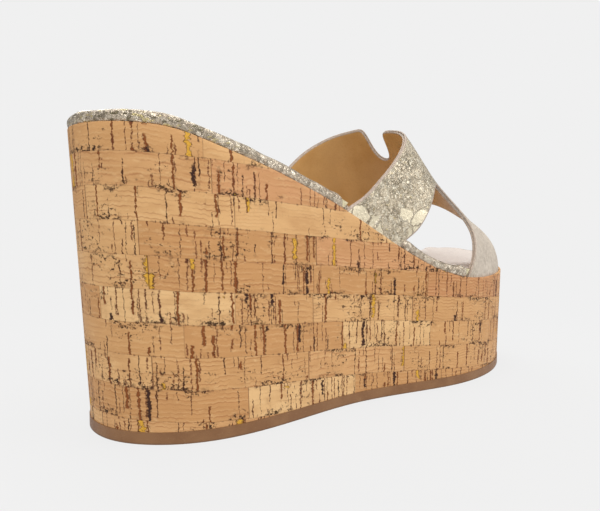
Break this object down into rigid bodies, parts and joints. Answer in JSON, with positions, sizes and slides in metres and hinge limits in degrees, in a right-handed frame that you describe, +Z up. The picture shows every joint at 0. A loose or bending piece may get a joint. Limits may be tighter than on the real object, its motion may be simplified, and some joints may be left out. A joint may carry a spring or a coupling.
{
  "type": "wedge sandal",
  "caption": "Women's high slide sandal for the right foot, with a cork-wrapped wedge, a padded metallic insole and a cut-out metallic leather upper.",
  "frame": {"origin": "on the floor, at the middle of the whole sandal's footprint", "axes": "+X towards the toe, +Y towards the inner side of the foot, +Z up"},
  "size_m": [0.2473, 0.0902, 0.1322],
  "materials": {
    "outsole_rubber": "smooth, slightly satin",
    "cork": "pieced cork veneer strips, satin lacquer",
    "core_foam": "closed-cell foam",
    "filler_cork": "rough granulated cork",
    "shank_steel": "rolled strip",
    "fastener_steel": "zinc-plated wire",
    "fibre_board": "pressed fibre",
    "pad_foam": "open-cell foam",
    "insole_leather": "foiled and crackled, soft on the footbed",
    "foil_leather": "champagne metallic foil, crackled",
    "reinforcement": "woven tape",
    "lining_leather": "smooth tan"
  },
  "bodies": {
    "root": {"outsole": "outsole_rubber", "cork_wrap": "cork", "wedge_core": "core_foam", "bottom_filler": "filler_cork", "shank": "shank_steel", "shank_rivets": "fastener_steel", "insole_board": "fibre_board", "foam_pad": "pad_foam", "insole_cover": "insole_leather", "upper_outer": "foil_leather", "upper_interlining": "reinforcement", "upper_lining": "lining_leather", "heel_nails": "fastener_steel", "strap_tacks": "fastener_steel"}
  },
  "joints": []
}
